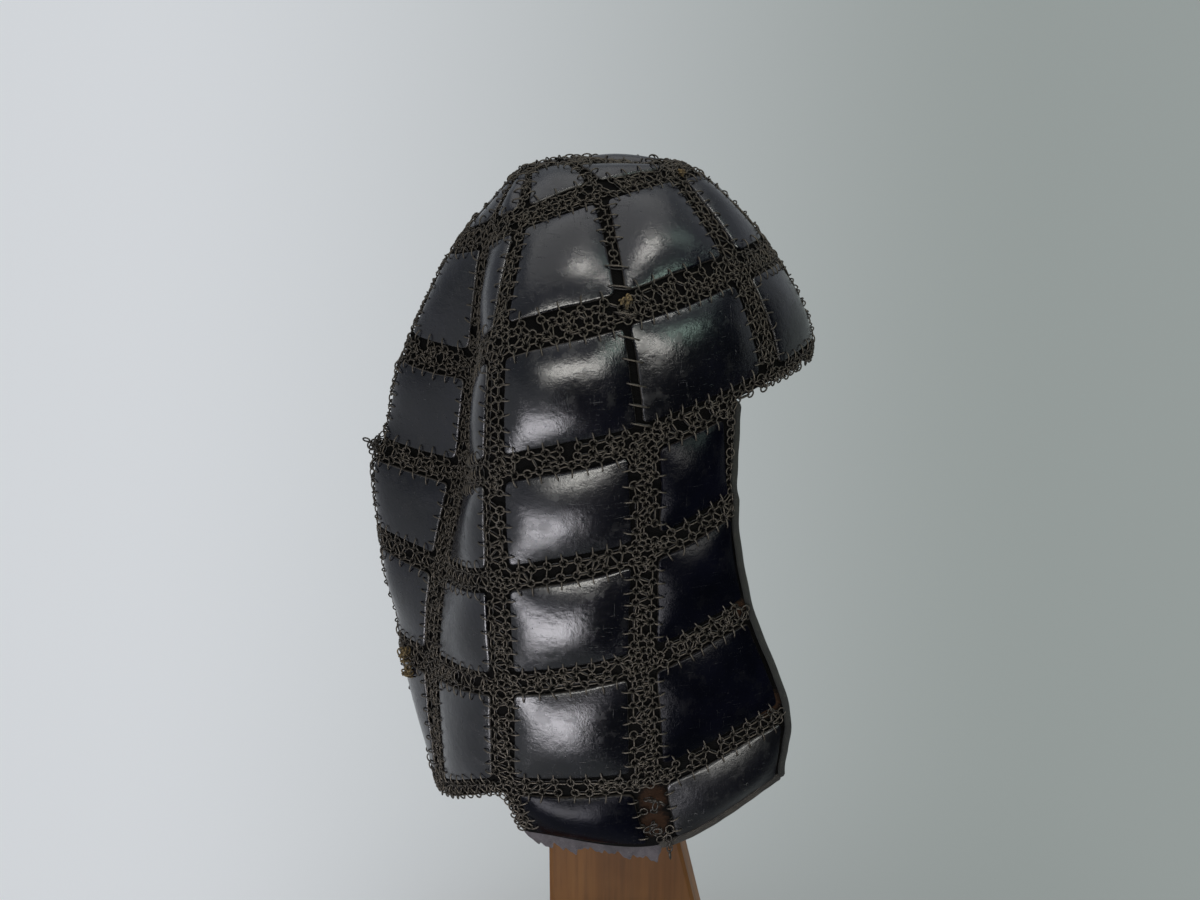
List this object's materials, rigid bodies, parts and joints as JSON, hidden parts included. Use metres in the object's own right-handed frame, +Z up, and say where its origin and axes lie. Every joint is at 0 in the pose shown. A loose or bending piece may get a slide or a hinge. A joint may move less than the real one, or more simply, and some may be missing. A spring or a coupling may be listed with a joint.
{
  "type": "samurai mail-and-plate hood helmet on wooden stand",
  "caption": "Folding hood of domed black lacquered iron plates joined by mail over a cloth lining, open at the face, on a plain wooden post stand.",
  "frame": {"origin": "on the floor under the middle of the bounding box, at the base's underside", "axes": "+Z up along the stand, -Y towards the face opening, -X the wearer's right"},
  "size_m": [0.1958, 0.232, 0.4933],
  "materials": {
    "wood": "oiled brown wood",
    "cloth": "dark worn hemp cloth, olive green welt at the face opening",
    "mail_iron": "blackened iron rings worn to brown",
    "lacquered_iron": "glossy black lacquer with worn brown rims"
  },
  "bodies": {
    "root": {"stand": "wood", "cloth_lining": "cloth", "mail_net": "mail_iron", "plate_right_a1": "lacquered_iron", "plate_left_a1": "lacquered_iron", "plate_right_a2": "lacquered_iron", "plate_left_a2": "lacquered_iron", "plate_right_b0": "lacquered_iron", "plate_left_b0": "lacquered_iron", "plate_right_b1": "lacquered_iron", "plate_left_b1": "lacquered_iron", "plate_right_b2": "lacquered_iron", "plate_left_b2": "lacquered_iron", "plate_right_b3": "lacquered_iron", "plate_left_b3": "lacquered_iron", "plate_right_b4": "lacquered_iron", "plate_left_b4": "lacquered_iron", "plate_right_b5": "lacquered_iron", "plate_left_b5": "lacquered_iron", "plate_right_b6": "lacquered_iron", "plate_left_b6": "lacquered_iron", "plate_right_c0": "lacquered_iron", "plate_left_c0": "lacquered_iron", "plate_right_c1": "lacquered_iron", "plate_left_c1": "lacquered_iron", "plate_right_c2": "lacquered_iron", "plate_left_c2": "lacquered_iron", "plate_right_c3": "lacquered_iron", "plate_left_c3": "lacquered_iron", "plate_right_c4": "lacquered_iron", "plate_left_c4": "lacquered_iron", "plate_right_c5": "lacquered_iron", "plate_left_c5": "lacquered_iron", "plate_right_c6": "lacquered_iron", "plate_left_c6": "lacquered_iron", "plate_right_d0": "lacquered_iron", "plate_left_d0": "lacquered_iron", "plate_right_d1": "lacquered_iron", "plate_left_d1": "lacquered_iron", "plate_right_d2": "lacquered_iron", "plate_left_d2": "lacquered_iron", "plate_right_d3": "lacquered_iron", "plate_left_d3": "lacquered_iron", "plate_right_d4": "lacquered_iron", "plate_left_d4": "lacquered_iron", "plate_right_d5": "lacquered_iron", "plate_left_d5": "lacquered_iron", "plate_right_e0": "lacquered_iron", "plate_left_e0": "lacquered_iron", "plate_right_e1": "lacquered_iron", "plate_left_e1": "lacquered_iron", "plate_right_e2": "lacquered_iron", "plate_left_e2": "lacquered_iron", "plate_right_e3": "lacquered_iron", "plate_left_e3": "lacquered_iron", "plate_right_e4": "lacquered_iron", "plate_left_e4": "lacquered_iron", "plate_right_e5": "lacquered_iron", "plate_left_e5": "lacquered_iron"}
  },
  "joints": []
}
